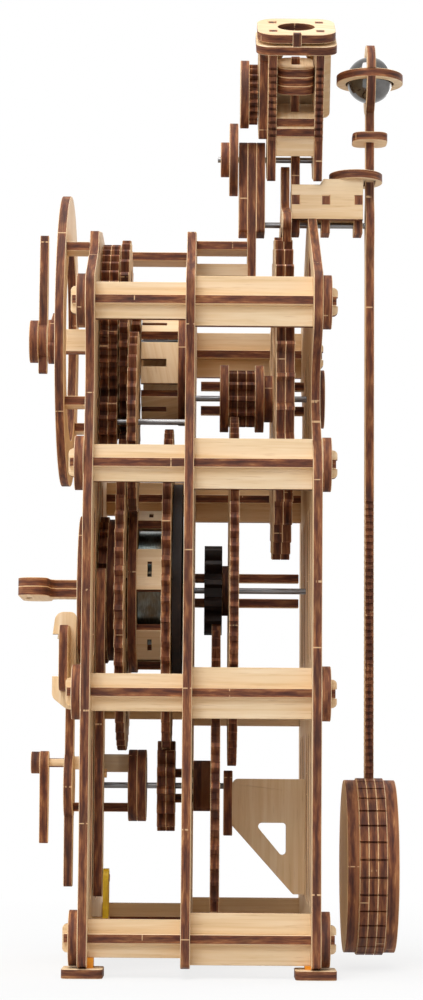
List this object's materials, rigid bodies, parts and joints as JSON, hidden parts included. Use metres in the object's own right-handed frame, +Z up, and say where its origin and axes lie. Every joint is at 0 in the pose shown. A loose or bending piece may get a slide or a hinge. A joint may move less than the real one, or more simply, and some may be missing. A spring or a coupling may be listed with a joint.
{
  "type": "wooden mechanical clock kit",
  "caption": "Plywood pendulum clock kit: three upright plates on beams with a key-wound barrel, gear train, escapement, dial with hands, tilting head and rear pendulum.",
  "frame": {"origin": "on the floor under the middle of the clock's overall box", "axes": "+Z up, -Y towards the reader of the dial, +X to that reader's right"},
  "size_m": [0.1292, 0.13, 0.3228],
  "materials": {
    "birch_plywood": "satin",
    "burnt_plywood": "matt",
    "black_plywood": "matt",
    "steel_rod": "polished",
    "spring_steel": "oiled",
    "orange_rubber": "satin"
  },
  "bodies": {
    "frame": {"front_plate": "birch_plywood", "middle_plate": "birch_plywood", "back_plate": "birch_plywood", "beam_webs": "birch_plywood", "beam_flanges": "birch_plywood", "beam_washers": "birch_plywood", "feet": "birch_plywood", "head_post": "birch_plywood", "bracket_cheeks": "birch_plywood", "bracket_plates": "birch_plywood", "rear_bearings": "birch_plywood", "arbor_cage": "birch_plywood", "dial_ring": "birch_plywood", "dial_spacers": "birch_plywood", "front_panel": "birch_plywood", "panel_hooks": "birch_plywood", "frame_pegs": "birch_plywood", "rubber_bands": "orange_rubber"},
    "winding": {"winding_key": "birch_plywood", "winding_disc": "birch_plywood", "winding_arbor": "birch_plywood", "ratchet_wheel": "birch_plywood"},
    "click": {"click_lever": "birch_plywood"},
    "barrel": {"drive_wheel": "birch_plywood", "great_wheel": "birch_plywood", "drum_caps": "burnt_plywood", "drum_slats": "birch_plywood", "mainspring": "spring_steel"},
    "lower_train": {"lower_arbor": "steel_rod", "lower_pinion": "birch_plywood", "lower_wheel": "birch_plywood"},
    "rear_train": {"rear_arbor": "steel_rod", "rear_pinion": "black_plywood", "rear_wheel": "birch_plywood"},
    "escape_train": {"escape_arbor": "steel_rod", "escape_pinion": "birch_plywood", "escape_wheel": "birch_plywood"},
    "minute": {"minute_arbor": "steel_rod", "minute_wheels": "birch_plywood", "minute_hand": "birch_plywood"},
    "motion": {"motion_wheel": "birch_plywood", "motion_pinion": "birch_plywood"},
    "hour": {"hour_pipe": "birch_plywood", "hour_wheel": "birch_plywood", "hour_hand": "birch_plywood"},
    "stop": {"stop_hub": "birch_plywood", "stop_lever": "birch_plywood"},
    "pointer": {"stop_pointer": "birch_plywood"},
    "pendulum": {"anchor": "birch_plywood", "pendulum_arbor": "steel_rod", "pendulum_rod": "birch_plywood", "pendulum_rings": "birch_plywood", "pendulum_ball": "steel_rod", "bob_layers": "birch_plywood"},
    "head": {"head_walls": "birch_plywood", "head_plates": "birch_plywood", "head_weights": "birch_plywood", "head_axle": "steel_rod", "head_discs": "birch_plywood"},
    "head_gear": {"head_wheel": "birch_plywood"}
  },
  "joints": [
    {"name": "escape_wheel_spin", "type": "hinge", "parent": "frame", "child": "escape_train", "pos_m": [0, 0.013, 0.192], "axis": [0, 1, 0], "continuous": true},
    {"name": "rear_train_spin", "type": "hinge", "parent": "frame", "child": "rear_train", "pos_m": [0, 0.013, 0.126], "axis": [0, 1, 0], "continuous": true},
    {"name": "lower_train_spin", "type": "hinge", "parent": "frame", "child": "lower_train", "pos_m": [0, -0.009, 0.06], "axis": [0, 1, 0], "continuous": true},
    {"name": "barrel_spin", "type": "hinge", "parent": "frame", "child": "barrel", "pos_m": [0, -0.0236, 0.126], "axis": [0, 1, 0], "continuous": true},
    {"name": "minute_hand_spin", "type": "hinge", "parent": "frame", "child": "minute", "pos_m": [0, -0.0236, 0.2113], "axis": [0, 1, 0], "continuous": true},
    {"name": "motion_wheel_spin", "type": "hinge", "parent": "frame", "child": "motion", "pos_m": [0.024, -0.0236, 0.18056], "axis": [0, 1, 0], "continuous": true},
    {"name": "hour_hand_spin", "type": "hinge", "parent": "frame", "child": "hour", "pos_m": [0, -0.0412, 0.2113], "axis": [0, 1, 0], "continuous": true},
    {"name": "winding_key_spin", "type": "hinge", "parent": "frame", "child": "winding", "pos_m": [0, -0.0412, 0.126], "axis": [0, 1, 0], "continuous": true},
    {"name": "click_pivot", "type": "hinge", "parent": "frame", "child": "click", "pos_m": [0.027, -0.0379, 0.064], "axis": [0, 1, 0], "range_deg": [-2, 2], "stiffness_Nm_per_rad": 0.02},
    {"name": "stop_lever_swing", "type": "hinge", "parent": "frame", "child": "stop", "pos_m": [0, -0.0412, 0.06], "axis": [0, 1, 0], "range_deg": [-18, 18]},
    {"name": "pointer_swing", "type": "hinge", "parent": "stop", "child": "pointer", "pos_m": [0, -0.0575, 0.0674], "axis": [0, 1, 0], "continuous": true},
    {"name": "pendulum_swing", "type": "hinge", "parent": "frame", "child": "pendulum", "pos_m": [0, 0.032, 0.2526], "axis": [0, 1, 0], "range_deg": [-7, 7]},
    {"name": "head_tilt", "type": "hinge", "parent": "frame", "child": "head", "pos_m": [0, 0.02725, 0.2755], "axis": [0, 1, 0], "range_deg": [-56, 0]},
    {"name": "head_wheel_spin", "type": "hinge", "parent": "head", "child": "head_gear", "pos_m": [0.0108, 0.0115, 0.29581], "axis": [0, 1, 0], "continuous": true}
  ],
  "couplings": [
    {"joint": "rear_train_spin", "follows": "escape_wheel_spin", "ratio": -0.14286},
    {"joint": "lower_train_spin", "follows": "escape_wheel_spin", "ratio": 0.035714},
    {"joint": "barrel_spin", "follows": "escape_wheel_spin", "ratio": -0.0089286},
    {"joint": "minute_hand_spin", "follows": "escape_wheel_spin", "ratio": 0.014181},
    {"joint": "motion_wheel_spin", "follows": "escape_wheel_spin", "ratio": -0.0053178},
    {"joint": "hour_hand_spin", "follows": "escape_wheel_spin", "ratio": 0.0011817}
  ]
}
